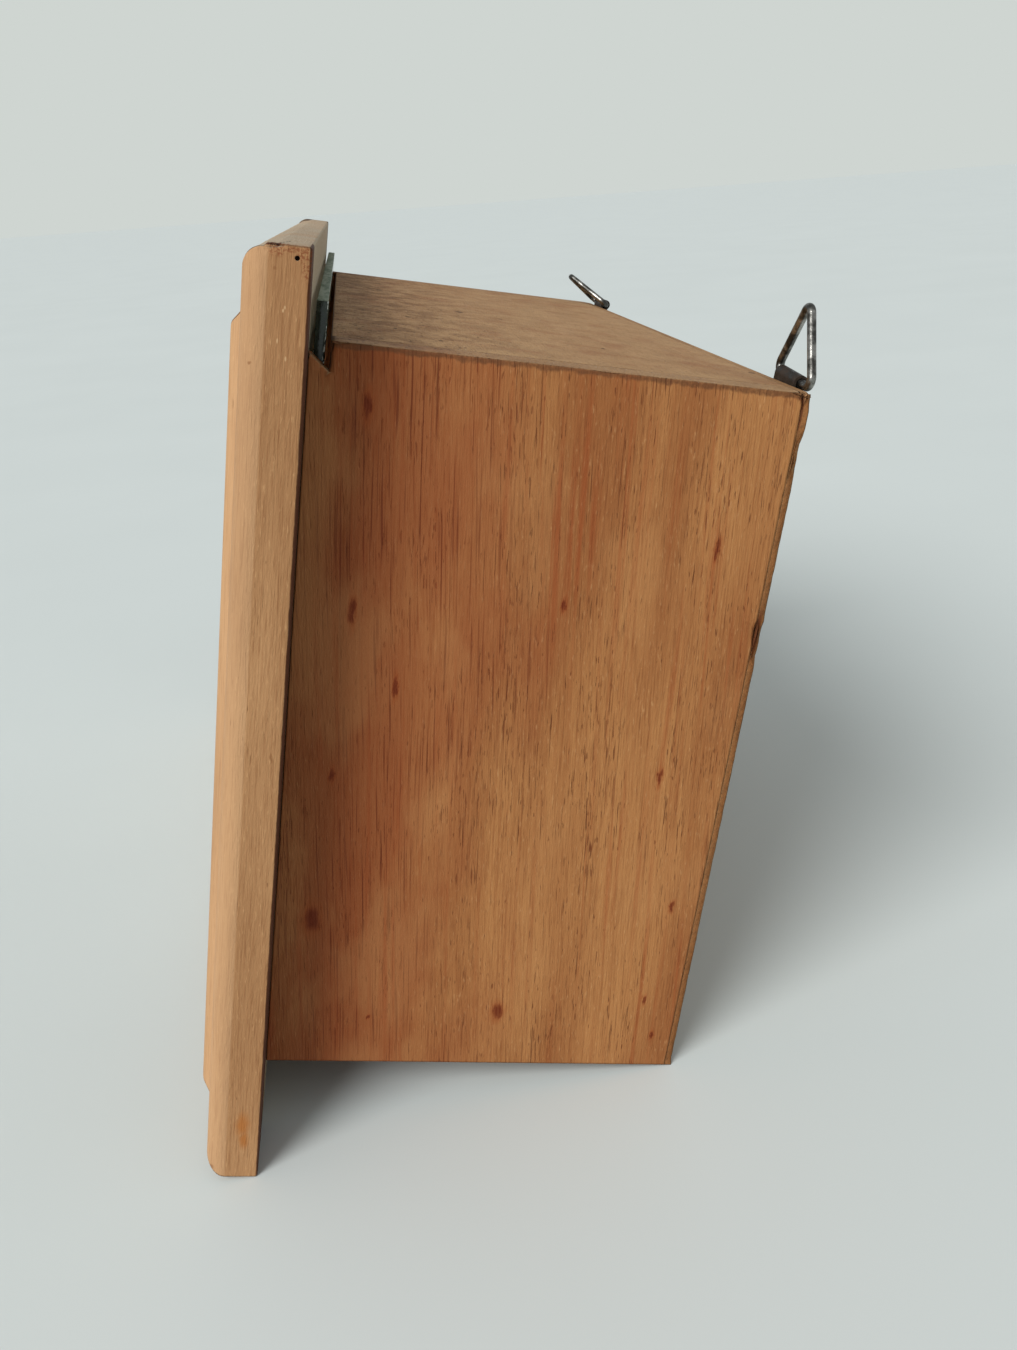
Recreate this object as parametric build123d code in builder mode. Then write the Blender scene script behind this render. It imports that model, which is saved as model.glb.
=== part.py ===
from build123d import *

import os
from math import atan2, cos, degrees, radians, sin, tan

# Glazed wall display box: a shallow wooden case behind a mitred moulding frame, with a
# pane of picture glass that lifts out of a slot between the two, and a pair of
# triangular wire hangers nailed to the back.
#
# Millimetres.  +X is the box's right hand, -Y is its front, +Z is up.  The origin is the
# middle of the overall footprint, at the height of the frame's bottom edge.

# ---------------------------------------------------------------- case
case_width = 210.0
case_height = 150.0
case_depth = 90.0  # from the frame's rear face to the back board's rear face
board = 8.0  # side, top and bottom boards
back_board = 1.5

# ---------------------------------------------------------------- moulding frame
side_overhang = 15.0
top_overhang = 15.0
bottom_overhang = 17.4
moulding_width = 26.0
edge_height = 6.7  # plain outer edge, before it rounds over
edge_round = 4.0
shoulder_end = 11.0  # widths from the outer edge inwards
crest_start = 13.6
crest_end = 17.5
crest_height = 12.9
sight_height = 8.0
sight_flat = 1.0

# ---------------------------------------------------------------- glass and its slot
glass_thickness = 2.0
glass_face_gap = 0.8  # to the frame in front, and to the top board behind
glass_end_gap = 0.4
glass_rise = 6.0  # how far the pane stands above the case's top
lip = 4.0  # what is left of a side board outside the glass
lip_cut_front = 2.3  # the right lip's top is sawn away, on a slant
lip_cut_rear = 5.2

# ---------------------------------------------------------------- hangers
wire_radius = 0.85
wire_gap = 0.1  # running clearance of the ring in its strap
wire_ends_gap = 0.4
ring_foot_angle = 56.3  # degrees between a leg and the wire in the strap
ring_foot_radius = 1.5  # bends, on the wire's centre line
ring_apex_radius = 1.8
ring_shift = 1.3  # the rings have slid outwards in their straps
ring_end_play = 0.25  # left between a strap's end and the nearer bend
strap_thickness = 0.5
strap_width = 11.0
strap_pinch = 3.0  # below the wire, where the two layers meet
strap_end_radius = 3.6
strap_nail_drop = 6.5
hanger_inset = 15.5  # from the case's side to the middle of a strap
hanger_rise = 1.0  # the wire's axis above the case's top
right_lean = 3.5  # degrees out of true, as nailed
left_lean = 0.0
left_ring_tilt = 58.0  # degrees forward of upright, as left
right_ring_tilt = 0.0

# ---------------------------------------------------------------- nails and pins
mitre_pin_radius = 0.55
mitre_pin_length = 22.0
mitre_pin_forward = 2.2  # of the frame's rear face
top_pin_drop = 1.9
top_pin_sunk = 1.2
bottom_pin_rise = 13.4
bottom_pin_sunk = 1.5  # filled over
brad_radius = 0.6
brad_length = 24.0
brad_sunk = 2.5  # punched in below the crest and filled over
brad_end_margin = 30.0
back_pin_radius = 0.5
back_pin_length = 12.0
back_pin_head_radius = 1.2
back_pin_head = 0.4
back_pin_margin = 14.0
hanger_nail_radius = 0.6
hanger_nail_length = 14.0
hanger_nail_head_radius = 1.7
hanger_nail_head = 0.7

# ---------------------------------------------------------------- places worked out
slot_depth = glass_thickness + 2 * glass_face_gap
strap_bore = wire_radius + wire_gap
strap_reach = strap_bore + strap_thickness  # from the back's face to the wire's axis
hanger_depth = strap_reach + strap_bore + strap_thickness

frame_width = case_width + 2 * side_overhang
frame_height = case_height + top_overhang + bottom_overhang
joint_y = (crest_height - case_depth - hanger_depth) / 2  # where frame and case meet
slot_y = joint_y + slot_depth
back_y = joint_y + case_depth
back_front_y = back_y - back_board
case_bottom = bottom_overhang
case_top = case_bottom + case_height
inner_half_width = case_width / 2 - board
foot_tangent = ring_foot_radius / tan(radians(ring_foot_angle / 2))
ring_half_base = strap_width / 2 + ring_shift + ring_end_play + foot_tangent
ring_height = ring_half_base * tan(radians(ring_foot_angle))
wire_y = back_y + strap_reach
wire_z = case_top + hanger_rise
hanger_x = case_width / 2 - hanger_inset

FORWARD = Vector(0, -1, 0)
REARWARD = Vector(0, 1, 0)
LOW_END = (Align.CENTER, Align.CENTER, Align.MIN)
HIGH_END = (Align.CENTER, Align.CENTER, Align.MAX)

pieces = {}


def drive(point, direction, radius, length, head_radius=0.0, head=0.0):
    """Adds one nail to the part being built: its point goes in along the direction."""
    entry = Plane(origin=point, z_dir=direction)
    with Locations(entry):
        Cylinder(radius, length, align=LOW_END)
        if head:
            Cylinder(head_radius, head, align=HIGH_END)


# ================================================================ nails and pins
top_pin_z = frame_height - top_pin_drop
pin_rows = [(top_pin_z, top_pin_sunk), (bottom_pin_rise, bottom_pin_sunk)]
pin_y = joint_y - mitre_pin_forward

with BuildPart() as mitre_pins:
    for side in (-1, 1):
        for pin_z, sunk in pin_rows:
            start = (side * (frame_width / 2 - sunk), pin_y, pin_z)
            drive(start, (-side, 0, 0), mitre_pin_radius, mitre_pin_length)
pieces["mitre_pins"] = mitre_pins

# The upper pins' holes stay open above their sunk heads.
with BuildPart() as pin_holes:
    for side in (-1, 1):
        start = (side * frame_width / 2, pin_y, top_pin_z)
        drive(start, (-side, 0, 0), mitre_pin_radius, top_pin_sunk)

brad_x = case_width / 2 - lip / 2
brad_y = joint_y - crest_height + brad_sunk
brad_heights = [
    case_bottom + brad_end_margin,
    case_bottom + case_height / 2,
    case_top - brad_end_margin,
]

with BuildPart() as frame_brads:
    for side in (-1, 1):
        for brad_z in brad_heights:
            drive((side * brad_x, brad_y, brad_z), REARWARD, brad_radius, brad_length)
pieces["frame_brads"] = frame_brads

board_middle = board / 2
side_pin_x = case_width / 2 - board_middle
back_pin_places = [(0, case_bottom + board_middle), (0, case_top - board_middle)]
for side in (-1, 1):
    back_pin_places += [
        (side * side_pin_x, case_bottom + back_pin_margin),
        (side * side_pin_x, case_bottom + case_height / 2),
        (side * side_pin_x, case_top - 2 * back_pin_margin),
        (side * inner_half_width / 2, case_bottom + board_middle),
        (side * inner_half_width / 2, case_top - board_middle),
    ]

with BuildPart() as back_pins:
    for pin_x, pin_z in back_pin_places:
        drive(
            (pin_x, back_y, pin_z),
            FORWARD,
            back_pin_radius,
            back_pin_length,
            back_pin_head_radius,
            back_pin_head,
        )
pieces["back_pins"] = back_pins


# ================================================================ hangers
def hanger_plane(side, lean):
    """Upright plane on the wire's axis: x along the wire, y up, z towards the front."""
    along = Vector(cos(radians(lean)), 0, -sin(radians(lean)))
    return Plane(origin=(side * hanger_x, wire_y, wire_z), x_dir=along, z_dir=FORWARD)


def strap_nail_seat(plane):
    """Where the nail's head bears on the strap's two layers."""
    seat_depth = strap_reach - 2 * strap_thickness
    return plane.from_local_coords(Vector(0, -strap_nail_drop, seat_depth))


planes = {"left": hanger_plane(-1, left_lean), "right": hanger_plane(1, right_lean)}
ring_tilts = {"left": left_ring_tilt, "right": right_ring_tilt}
ring_shifts = {"left": -ring_shift, "right": ring_shift}

with BuildPart() as hanger_nails:
    for plane in planes.values():
        drive(
            strap_nail_seat(plane),
            FORWARD,
            hanger_nail_radius,
            hanger_nail_length,
            hanger_nail_head_radius,
            hanger_nail_head,
        )
pieces["hanger_nails"] = hanger_nails


def hanger_strap(plane):
    """A strip folded round the wire: a drop-shaped loop, then two layers held flat."""
    section_plane = Plane(origin=plane.origin, x_dir=REARWARD, z_dir=plane.x_dir)
    tail = strap_nail_drop + strap_end_radius
    flat_x = strap_thickness - strap_reach
    # The loop's rear side leaves the bore along a tangent that runs to the pinch.
    tangent_angle = -2 * degrees(atan2(strap_bore, strap_pinch))
    pinch = (-strap_bore, -strap_pinch)
    with BuildPart() as strap:
        with BuildSketch(section_plane):
            with BuildLine():
                bore_arc = CenterArc((0, 0), strap_bore, 180, tangent_angle - 180)
                Line(bore_arc @ 1, pinch)
                Line(pinch, bore_arc @ 0)
            bore = make_face()
            offset(amount=strap_thickness)
            with Locations((flat_x, -strap_pinch)):
                Rectangle(
                    2 * strap_thickness,
                    tail - strap_pinch,
                    align=(Align.CENTER, Align.MAX),
                )
            add(bore, mode=Mode.SUBTRACT)
        extrude(amount=strap_width / 2, both=True)
        with BuildSketch(plane):
            with Locations((0, -strap_pinch / 2)):
                Rectangle(strap_width, strap_pinch + 2 * strap_reach)
            with Locations((0, -strap_nail_drop)):
                Circle(strap_end_radius)
            make_hull()
        extrude(amount=hanger_depth, both=True, mode=Mode.INTERSECT)
        add(hanger_nails.part, mode=Mode.SUBTRACT)
    return strap


def hanger_ring(plane, tilt, shift):
    """Triangle of bent wire whose two ends meet inside the strap."""
    ring_plane = Plane(
        origin=plane.from_local_coords(Vector(shift, 0, 0)),
        x_dir=plane.x_dir,
        z_dir=plane.z_dir,
    ).rotated((tilt, 0, 0))
    with BuildPart() as ring:
        with BuildLine(ring_plane):
            wire = FilletPolyline(
                (wire_ends_gap / 2, 0),
                (ring_half_base, 0),
                (0, ring_height),
                (-ring_half_base, 0),
                (-wire_ends_gap / 2, 0),
                radius=[ring_foot_radius, ring_apex_radius, ring_foot_radius],
            )
        with BuildSketch(Plane(origin=wire @ 0, z_dir=wire % 0)):
            Circle(wire_radius)
        sweep()
    return ring


for hand, plane in planes.items():
    pieces[f"hanger_strap_{hand}"] = hanger_strap(plane)
    pieces[f"hanger_ring_{hand}"] = hanger_ring(plane, ring_tilts[hand], ring_shifts[hand])


# ================================================================ case
def side_board(side):
    """Upright board with a rebate for the glass along the inside of its front edge."""
    outer = side * case_width / 2
    with BuildPart() as panel:
        with BuildSketch(Plane.XY.offset(case_bottom)):
            with Locations((outer - side * board / 2, (joint_y + back_front_y) / 2)):
                Rectangle(board, case_depth - back_board)
            with Locations((outer - side * (lip + board) / 2, joint_y + slot_depth / 2)):
                Rectangle(board - lip, slot_depth, mode=Mode.SUBTRACT)
        extrude(amount=case_height)
        if side > 0:
            with BuildSketch(Plane.YZ.offset(outer - lip)):
                with BuildLine():
                    Polyline(
                        (joint_y, case_top),
                        (slot_y, case_top),
                        (slot_y, case_top - lip_cut_rear),
                        (joint_y, case_top - lip_cut_front),
                        close=True,
                    )
                make_face()
            extrude(amount=lip, mode=Mode.SUBTRACT)
        for nails in (frame_brads, back_pins):
            add(nails.part, mode=Mode.SUBTRACT)
    return panel


pieces["side_board_left"] = side_board(-1)
pieces["side_board_right"] = side_board(1)


def level_board(underside, front_y):
    """Board lying between the two sides, from its front edge to the back board."""
    with BuildPart() as panel:
        with BuildSketch(Plane.XY.offset(underside)):
            with Locations((0, (front_y + back_front_y) / 2)):
                Rectangle(2 * inner_half_width, back_front_y - front_y)
        extrude(amount=board)
        for nails in (frame_brads, back_pins, hanger_nails):
            add(nails.part, mode=Mode.SUBTRACT)
    return panel


pieces["top_board"] = level_board(case_top - board, slot_y)
pieces["bottom_board"] = level_board(case_bottom, joint_y)

with BuildPart() as back_panel:
    with BuildSketch(Plane.XZ.offset(-back_front_y)):
        with Locations((0, case_bottom + case_height / 2)):
            Rectangle(case_width, case_height)
    extrude(amount=-back_board)
    for nails in (back_pins, hanger_nails):
        add(nails.part, mode=Mode.SUBTRACT)
pieces["back_panel"] = back_panel

# ================================================================ glass
glass_width = case_width - 2 * (lip + glass_end_gap)
glass_height = case_height - board + glass_rise

with BuildPart() as glass_pane:
    with BuildSketch(Plane.XY.offset(case_bottom + board)):
        with Locations((0, joint_y + slot_depth / 2)):
            Rectangle(glass_width, glass_thickness)
    extrude(amount=glass_height)
pieces["glass_pane"] = glass_pane


# ================================================================ moulding frame
def frame_member(corner, inward, length):
    """One mitred length of moulding, from its outer corner round to the next one."""
    along = inward.cross(FORWARD)
    far_corner = corner + along * length
    shoulder_height = edge_height + edge_round
    round_centre = (edge_round, edge_height)
    scoop_foot = (moulding_width - sight_flat, sight_height)
    with BuildPart() as member:
        with BuildSketch(Plane(origin=corner, x_dir=inward, z_dir=along)):
            with BuildLine():
                Line((0, 0), (0, edge_height))
                CenterArc(round_centre, edge_round, 180, -90)
                Line((edge_round, shoulder_height), (shoulder_end, shoulder_height))
                Line((shoulder_end, shoulder_height), (crest_start, crest_height))
                Line((crest_start, crest_height), (crest_end, crest_height))
                TangentArc(scoop_foot, (crest_end, crest_height), tangent=(-1, 0))
                Line(scoop_foot, (moulding_width, sight_height))
                Line((moulding_width, sight_height), (moulding_width, 0))
                Line((moulding_width, 0), (0, 0))
            make_face()
        extrude(amount=length)
        split(bisect_by=Plane(origin=corner, z_dir=along - inward), keep=Keep.TOP)
        split(bisect_by=Plane(origin=far_corner, z_dir=-along - inward), keep=Keep.TOP)
        for nails in (mitre_pins, pin_holes, frame_brads):
            add(nails.part, mode=Mode.SUBTRACT)
    return member


frame_left, frame_right = -frame_width / 2, frame_width / 2
members = {
    "frame_top_rail": ((frame_right, joint_y, frame_height), (0, 0, -1), frame_width),
    "frame_left_stile": ((frame_left, joint_y, frame_height), (1, 0, 0), frame_height),
    "frame_bottom_rail": ((frame_left, joint_y, 0), (0, 0, 1), frame_width),
    "frame_right_stile": ((frame_right, joint_y, 0), (-1, 0, 0), frame_height),
}
for name, (corner, inward, length) in members.items():
    pieces[name] = frame_member(Vector(*corner), Vector(*inward), length)

# ================================================================ files
os.makedirs("parts", exist_ok=True)
for name, piece in pieces.items():
    piece.part.label = name
    export_step(piece.part, f"parts/{name}.step")
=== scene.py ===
import math
import bmesh
import bpy
from mathutils import Matrix, Vector, noise


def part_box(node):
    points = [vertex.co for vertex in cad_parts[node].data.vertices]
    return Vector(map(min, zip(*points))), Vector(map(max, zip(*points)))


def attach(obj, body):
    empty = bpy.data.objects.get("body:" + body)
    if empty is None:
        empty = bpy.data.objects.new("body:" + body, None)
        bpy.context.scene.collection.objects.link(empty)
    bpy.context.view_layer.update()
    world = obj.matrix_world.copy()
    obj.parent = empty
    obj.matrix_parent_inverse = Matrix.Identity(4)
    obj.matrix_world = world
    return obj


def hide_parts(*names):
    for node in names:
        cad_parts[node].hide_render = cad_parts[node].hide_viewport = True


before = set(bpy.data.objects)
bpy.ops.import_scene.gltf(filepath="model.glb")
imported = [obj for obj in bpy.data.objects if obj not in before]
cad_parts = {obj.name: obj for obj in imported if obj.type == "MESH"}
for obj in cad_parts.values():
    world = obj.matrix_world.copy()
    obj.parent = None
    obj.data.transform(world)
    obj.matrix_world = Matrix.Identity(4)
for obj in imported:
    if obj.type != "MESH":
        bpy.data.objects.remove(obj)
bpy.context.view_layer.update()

MM = 0.001

# ---- places read from the CAD model
STILE_LOW, STILE_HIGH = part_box("frame_right_stile")
SIDE_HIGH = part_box("side_board_right")[1]
BACK_LOW, BACK_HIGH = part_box("back_panel")
GLASS_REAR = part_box("glass_pane")[1].y
HALF_WIDTH = STILE_HIGH.x
FRAME_HEIGHT = STILE_HIGH.z
JOINT_Y = STILE_HIGH.y
CASE_X = SIDE_HIGH.x
CASE_TOP = SIDE_HIGH.z
FLOOR_FOOT = Vector((0, JOINT_Y, STILE_LOW.z))  # the box leans back on the frame's rear bottom edge
FLOOR_HEEL = Vector((0, BACK_HIGH.y, BACK_LOW.z))  # and on the case's rear bottom edge


# ---- camera
CAMERA_AT = (0.3124, -0.0362, 0.1894)
CAMERA_LOOK = (-0.91963, 0.16626, -0.35587)
CAMERA_RIGHT = (0.13063, 0.98388, 0.12210)
FOCAL_LENGTH = 31.38  # millimetres, as is the sensor's width
SENSOR_WIDTH = 36.0


def make_camera():
    """The camera, where the photo was taken: beside the box, a little above its top."""
    look = Vector(CAMERA_LOOK).normalized()
    up = Vector(CAMERA_RIGHT).cross(look).normalized()
    right = look.cross(up)
    data = bpy.data.cameras.new("photo_camera")
    data.lens = FOCAL_LENGTH
    data.sensor_width = SENSOR_WIDTH
    camera = bpy.data.objects.new("photo_camera", data)
    matrix = Matrix((right, up, -look)).transposed().to_4x4()
    matrix.translation = CAMERA_AT
    camera.matrix_world = matrix
    bpy.context.collection.objects.link(camera)
    bpy.context.scene.camera = camera


# ---- material recipes
def tint(red, green, blue):
    """A screen colour, 0 to 255, as the linear colour that a shader takes."""
    def linear(part):
        part = part / 255
        return part / 12.92 if part < 0.04045 else ((part + 0.055) / 1.055) ** 2.4
    return (linear(red), linear(green), linear(blue), 1.0)


class Recipe:
    """A material's node tree, with a short call for each kind of node."""

    def __init__(self, name):
        self.material = bpy.data.materials.new(name)
        self.material.use_nodes = True
        self.tree = self.material.node_tree
        self.shader = self.tree.nodes["Principled BSDF"]
        source = self.add("ShaderNodeTexCoord")
        self.place = source.outputs["Object"]
        self.facing = source.outputs["Normal"]

    def add(self, kind, **settings):
        node = self.tree.nodes.new(kind)
        for name, value in settings.items():
            setattr(node, name, value)
        return node

    def feed(self, socket, value):
        """Joins the socket to another, or sets its own value."""
        if isinstance(value, bpy.types.NodeSocket):
            self.tree.links.new(value, socket)
        else:
            socket.default_value = value

    def set(self, **values):
        """Shader inputs by name, with _ for a space."""
        for name, value in values.items():
            self.feed(self.shader.inputs[name.replace("_", " ")], value)

    def math(self, operation, first, second=0.0, third=0.0):
        node = self.add("ShaderNodeMath", operation=operation)
        self.feed(node.inputs[0], first)
        self.feed(node.inputs[1], second)
        self.feed(node.inputs[2], third)
        return node.outputs[0]

    def times(self, first, second):
        return self.math("MULTIPLY", first, second)

    def smooth(self, value, low, high, start=0.0, end=1.0):
        """start below low, end above high, and an easy curve between them."""
        node = self.add("ShaderNodeMapRange", interpolation_type="SMOOTHSTEP")
        for slot, number in enumerate((value, low, high, start, end)):
            self.feed(node.inputs[slot], number)
        return node.outputs[0]

    def axes(self, vector):
        node = self.add("ShaderNodeSeparateXYZ")
        self.feed(node.inputs[0], vector)
        return node.outputs

    def shifted(self, vector, push, amount):
        """The vector moved by a colour noise, up to about amount each way."""
        centred = self.add("ShaderNodeVectorMath", operation="SUBTRACT")
        self.feed(centred.inputs[0], push)
        centred.inputs[1].default_value = (0.5, 0.5, 0.5)
        scaled = self.add("ShaderNodeVectorMath", operation="SCALE")
        self.feed(scaled.inputs[0], centred.outputs[0])
        scaled.inputs["Scale"].default_value = amount * 2
        total = self.add("ShaderNodeVectorMath", operation="ADD")
        self.feed(total.inputs[0], vector)
        self.feed(total.inputs[1], scaled.outputs[0])
        return total.outputs[0]

    def mapped(self, sizes, offset, start=None):
        """Coordinates in which sizes (three lengths in millimetres) are one unit each."""
        node = self.add("ShaderNodeMapping")
        self.feed(node.inputs["Vector"], start or self.place)
        node.inputs["Scale"].default_value = [1 / (size * MM) for size in sizes]
        node.inputs["Location"].default_value = offset
        return node.outputs[0]

    def spread(self, sizes, start, shift):
        """Coordinates in which a feature is about sizes large."""
        return self.mapped(sizes, (shift, shift * 1.7, shift * 2.3), start)

    def cloud(self, sizes, detail=2.0, roughness=0.5, start=None, shift=0.0, colour=False):
        node = self.add("ShaderNodeTexNoise")
        self.feed(node.inputs["Vector"], self.spread(sizes, start, shift))
        node.inputs["Scale"].default_value = 1.0
        node.inputs["Detail"].default_value = detail
        node.inputs["Roughness"].default_value = roughness
        return node.outputs["Color" if colour else "Fac"]

    def cells(self, sizes, start=None, shift=0.0):
        """Distance to the nearest of many scattered points, and a random number for each."""
        node = self.add("ShaderNodeTexVoronoi")
        self.feed(node.inputs["Vector"], self.spread(sizes, start, shift))
        node.inputs["Scale"].default_value = 1.0
        return node.outputs["Distance"], self.axes(node.outputs["Color"])[0]

    def blend(self, factor, low, high, mode="MIX"):
        node = self.add("ShaderNodeMix", data_type="RGBA", blend_type=mode)
        self.feed(node.inputs[0], factor)
        self.feed(node.inputs[6], low)
        self.feed(node.inputs[7], high)
        return node.outputs[2]

    def relief(self, height, depth, under=None):
        """Bump: height 0 to 1 stands for 0 to depth millimetres."""
        node = self.add("ShaderNodeBump")
        node.inputs["Distance"].default_value = depth * MM
        node.inputs["Strength"].default_value = 1.0
        self.feed(node.inputs["Height"], height)
        if under is not None:
            self.feed(node.inputs["Normal"], under)
        return node.outputs[0]

    def spots(self, marks, start=None):
        """Distance to the nearest mark, in half sizes. A mark is a centre and half sizes in mm."""
        nearest = None
        for centre, sizes in marks:
            scaled = self.mapped(sizes, [-c / s for c, s in zip(centre, sizes)], start)
            length = self.add("ShaderNodeVectorMath", operation="LENGTH")
            self.feed(length.inputs[0], scaled)
            distance = length.outputs["Value"]
            nearest = distance if nearest is None else self.math("MINIMUM", nearest, distance)
        return nearest


def along(axis, length, across):
    """Three sizes: length along the grain's axis, across it elsewhere."""
    return [length if n == axis else across for n in range(3)]


class Wood(Recipe):
    """Bare old wood: bands, fibres and pores along one axis, end grain across it."""

    def __init__(self, name, axis, pale, deep, pore, end, pores=0.5, shift=0.0, lean=0.0, streaks=0.6):
        super().__init__(name)
        self.axis = axis
        self.shift = shift
        self.streaks = streaks
        sway = self.cloud(along(axis, 90, 30), 1.0, shift=shift + 3.1, colour=True)
        self.bent = self.shifted(self.leaning(lean), sway, 1.3 * MM)
        x, y, z = self.axes(self.facing)
        self.face_y, self.face_z = y, z
        self.end_grain = self.smooth(self.math("ABSOLUTE", (x, y, z)[axis]), 0.6, 0.95)
        self.mottle = self.cloud((0.9, 0.9, 0.9), 4.0, 0.7, shift=shift)
        self.base = self.grown(pale, deep)
        self.pore_mask = self.pore_lines(pores)
        self.stain(self.pore_mask, pore, 0.8)
        rough_end = self.blend(self.smooth(self.mottle, 0.38, 0.75, 0.0, 0.7), end, pore)
        self.stain(self.end_grain, rough_end, 0.85)

    def grown(self, pale, deep):
        """The wood's own colour: wide bands, narrow ones, and fine light and dark fibres."""
        axis, shift = self.axis, self.shift
        broad = self.cloud(along(axis, 130, 26), 3.0, shift=shift)
        band = self.cloud(along(axis, 140, 3.4), 3.0, 0.55, self.bent, shift)
        thread = self.cloud(along(axis, 42, 0.8), 2.0, 0.6, self.bent, shift + 2)
        self.fibre = self.cloud(along(axis, 8, 0.3), 3.0, 0.65, self.bent, shift)
        self.nap = self.cloud(along(axis, 2.2, 0.4), 3.0, 0.6, self.bent, shift + 6)
        base = self.blend(self.smooth(broad, 0.36, 0.62), pale, deep)
        base = self.blend(self.smooth(band, 0.45, 0.8, 0.0, 0.34), base, deep)
        base = self.blend(self.smooth(band, 0.5, 0.22, 0.0, 0.22), base, pale)
        base = self.blend(self.smooth(thread, 0.48, 0.78, 0.0, self.streaks), base, deep)
        shade = self.smooth(self.fibre, 0.42, 0.8, 0.0, 0.5)
        base = self.blend(shade, base, deep, "MULTIPLY")
        light = self.blend(0.5, pale, tint(226, 180, 128))
        return self.blend(self.smooth(self.nap, 0.56, 0.8, 0.0, 0.5), base, light)

    def leaning(self, lean):
        """The place, sheared so that upright grain leans forward as it rises."""
        if not lean:
            return self.place
        x, y, z = self.axes(self.place)
        joined = self.add("ShaderNodeCombineXYZ")
        for socket, value in zip(joined.inputs, (x, self.math("MULTIPLY_ADD", z, lean, y), z)):
            self.feed(socket, value)
        return joined.outputs[0]

    def pore_lines(self, amount):
        """Fine dark lines along the grain, crowded in some bands."""
        crowd = self.cloud(along(self.axis, 70, 9), 2.0, start=self.bent, shift=self.shift + 1.3)
        least = self.smooth(crowd, 0.34, 0.68, 0.79 - 0.08 * amount, 0.72 - 0.1 * amount)
        faint = self.cloud(along(self.axis, 14, 2.4), 2.0, start=self.bent, shift=self.shift + 4)
        lines = None
        for length, across, strength in ((15, 0.34, 0.8), (6, 0.3, 1.0), (2.6, 0.34, 0.85)):
            push = self.shift + length
            grain = self.cloud(along(self.axis, length, across), 1.0, 0.4, self.bent, push)
            over = self.math("SUBTRACT", grain, least)
            found = self.smooth(over, 0.0, 0.1, 0.0, strength)
            lines = found if lines is None else self.math("MAXIMUM", lines, found)
        lines = self.times(lines, self.smooth(faint, 0.3, 0.62, 0.35, 1.0))
        return self.times(lines, self.math("SUBTRACT", 1.0, self.end_grain))

    def dust(self, colour, amount):
        """Dirt that has settled on faces that look up, in patches."""
        up = self.smooth(self.face_z, 0.45, 0.9)
        patchy = self.cloud((14, 14, 14), 4.0, 0.6, shift=8)
        cover = self.times(up, self.smooth(patchy, 0.25, 0.7, amount * 0.6, amount))
        self.base = self.blend(cover, self.base, colour)
        return up

    def grime(self, up):
        """Brown blotches and dark specks on top of the case, thickest at its front edge."""
        _, y, z = self.axes(self.place)
        up = self.times(up, self.smooth(z, CASE_TOP - 4 * MM, CASE_TOP - 2 * MM))
        front = self.smooth(y, 14 * MM, -32 * MM)
        blotch = self.smooth(self.cloud((7, 6, 7), 5.0, 0.65, shift=3), 0.36, 0.66)
        dirty = self.times(blotch, self.math("MULTIPLY_ADD", front, 0.75, 0.3))
        self.stain(self.times(dirty, up), tint(104, 68, 40), 0.66)
        ruddy = self.smooth(self.cloud((11, 9, 11), 3.0, shift=17), 0.5, 0.72)
        self.stain(self.times(ruddy, up), tint(146, 96, 64), 0.4)
        crumbs = self.smooth(self.mottle, 0.5, 0.72)
        self.stain(self.times(crumbs, up), tint(88, 60, 38), 0.5)
        far, chance = self.cells((1.3, 0.9, 1.3), shift=9)
        size = self.smooth(chance, 0.48, 1.0, 0.0, 0.38)
        size = self.times(size, self.math("MULTIPLY_ADD", front, 0.5, 0.6))
        speck = self.smooth(self.math("SUBTRACT", size, far), -0.02, 0.06)
        self.stain(self.times(speck, up), tint(66, 46, 30), 0.7)

    def stain(self, mask, colour, strength=1.0):
        self.base = self.blend(self.times(mask, strength), self.base, colour)

    def finish(self, fibre_depth=0.06, pore_depth=0.1, nap_depth=0.13, rough=(0.55, 0.8)):
        relief = self.relief(self.fibre, fibre_depth)
        relief = self.relief(self.nap, nap_depth, relief)
        relief = self.relief(self.math("SUBTRACT", 1.0, self.pore_mask), pore_depth, relief)
        coarse = self.times(self.mottle, self.math("MAXIMUM", self.end_grain, 0.12))
        relief = self.relief(coarse, 0.25, relief)
        roughness = self.smooth(self.fibre, 0.2, 0.8, *rough)
        self.set(Base_Color=self.base, Normal=relief, Roughness=roughness)
        self.set(Specular_IOR_Level=0.18)
        return self.material


REAR_SPLITS = [((105, 48.6, 164), (3, 0.3, 4.0)), ((105, 48.9, 121), (3, 0.7, 5.5))]
SIDE_FLECKS = [
    ((105, -29.4, 157), (6, 0.8, 2.6)),
    ((105, -29.2, 119.5), (6, 0.7, 2.8)),
    ((105, 10.1, 124), (6, 0.45, 1.5)),
    ((105, 37.8, 137), (6, 0.5, 2.6)),
    ((105, 34.9, 89.2), (6, 0.55, 2.0)),
    ((105, -20.1, 105), (6, 0.55, 2.4)),
    ((105, -30.7, 86), (6, 0.5, 1.8)),
    ((105, -32.4, 53), (6, 1.7, 3.2)),
    ((105, 8.5, 31), (6, 1.2, 2.1)),
    ((105, 42.9, 58.8), (6, 0.45, 1.4)),
    ((105, 40.8, 34.9), (6, 0.4, 1.3)),
    ((105, 44, 25.5), (6, 0.5, 1.2)),
    ((105, -19, 29), (6, 0.35, 0.6)),
]


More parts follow.
